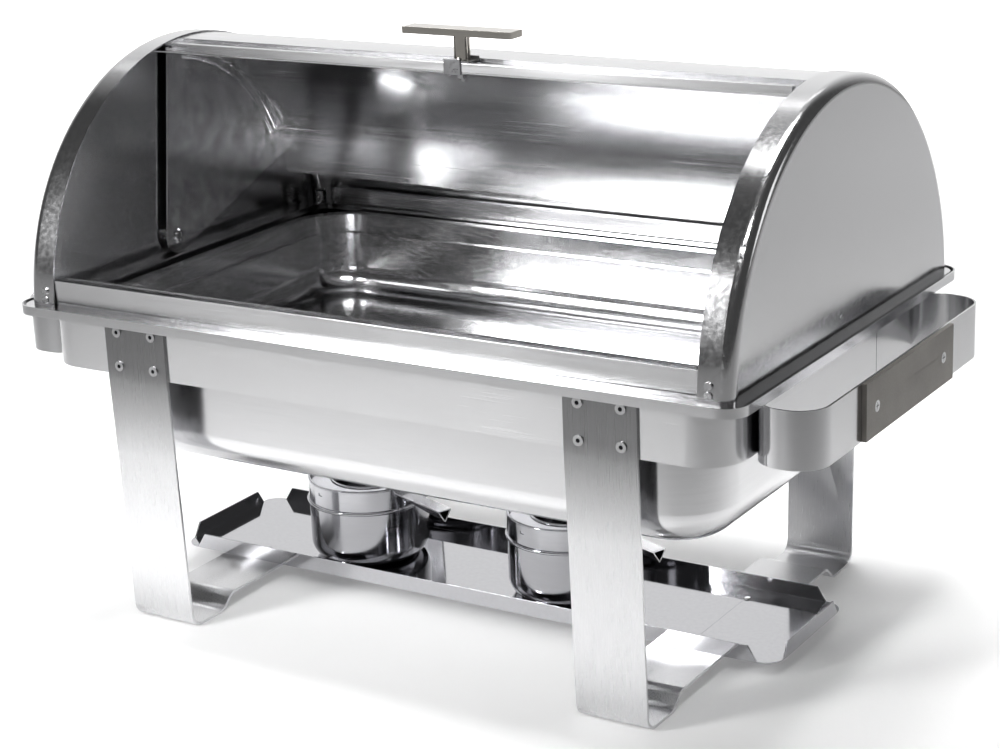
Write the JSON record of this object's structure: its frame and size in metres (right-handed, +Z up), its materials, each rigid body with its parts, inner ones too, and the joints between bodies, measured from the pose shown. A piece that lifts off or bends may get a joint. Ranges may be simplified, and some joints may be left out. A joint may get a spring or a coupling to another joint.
{
  "type": "chafing dish food warmer",
  "caption": "Roll-top buffet food warmer: strip-steel stand with burner tray, spirit burners with caps, water pan, food pan and hood with rolling lid.",
  "frame": {"origin": "on the ground, under the middle of the water pan's rim", "axes": "+Z up, X along the length between the two grips, -Y the serving side where the hood opens"},
  "size_m": [0.675, 0.38, 0.441],
  "materials": {
    "brushed_sheet": "brushed along the length",
    "leg_steel": "brushed along the strip",
    "pan_steel": "satin",
    "dome_steel": "bright satin",
    "polished_sheet": "mirror polished",
    "fastener_steel": "plain",
    "grip_coating": "satin warm grey",
    "knob_nickel": "polished, slightly warm"
  },
  "bodies": {
    "frame": {"apron": "brushed_sheet", "leg_strip_left": "leg_steel", "leg_strip_right": "leg_steel", "leg_rivets": "fastener_steel", "handle_loop_left": "leg_steel", "handle_loop_right": "leg_steel", "grip_plate_left": "grip_coating", "grip_plate_right": "grip_coating", "grip_screws": "fastener_steel", "burner_tray": "polished_sheet", "tray_rivets": "fastener_steel"},
    "bath": {"water_pan": "pan_steel"},
    "pan": {"food_pan": "polished_sheet"},
    "hood": {"hood_base": "pan_steel", "front_rail": "brushed_sheet", "rear_rail": "brushed_sheet", "end_dome_left": "dome_steel", "end_dome_right": "dome_steel", "rear_shell": "dome_steel", "band_rivets": "fastener_steel", "corner_screws": "fastener_steel", "pivot_studs": "fastener_steel"},
    "lid": {"lid_shell": "brushed_sheet", "lid_rail": "brushed_sheet", "sector_plate_left": "brushed_sheet", "sector_plate_right": "brushed_sheet", "knob_bar": "knob_nickel", "knob_stem": "knob_nickel", "knob_bracket": "knob_nickel", "knob_screw": "fastener_steel"},
    "burner_left": {"burner_pot_left": "polished_sheet"},
    "burner_right": {"burner_pot_right": "polished_sheet"},
    "cap_left": {"burner_cap_left": "polished_sheet", "cap_handle_left": "pan_steel"},
    "cap_right": {"burner_cap_right": "polished_sheet", "cap_handle_right": "pan_steel"}
  },
  "joints": [
    {"name": "bath_lift", "type": "slide", "parent": "frame", "child": "bath", "axis": [0, 0, 1], "range_m": [0, 0.12]},
    {"name": "pan_lift", "type": "slide", "parent": "bath", "child": "pan", "axis": [0, 0, 1], "range_m": [0, 0.015]},
    {"name": "hood_lift", "type": "slide", "parent": "bath", "child": "hood", "axis": [0, 0, 1], "range_m": [0, 0.06]},
    {"name": "lid_roll", "type": "hinge", "parent": "hood", "child": "lid", "pos_m": [0, -0.012, 0.258], "axis": [1, 0, 0], "range_deg": [0, 80]},
    {"name": "burner_lift_left", "type": "slide", "parent": "frame", "child": "burner_left", "axis": [0, 0, 1], "range_m": [0, 0.02]},
    {"name": "burner_lift_right", "type": "slide", "parent": "frame", "child": "burner_right", "axis": [0, 0, 1], "range_m": [0, 0.02]},
    {"name": "cap_lift_left", "type": "slide", "parent": "burner_left", "child": "cap_left", "axis": [0, 0, 1], "range_m": [0, 0.025]},
    {"name": "cap_lift_right", "type": "slide", "parent": "burner_right", "child": "cap_right", "axis": [0, 0, 1], "range_m": [0, 0.025]}
  ]
}
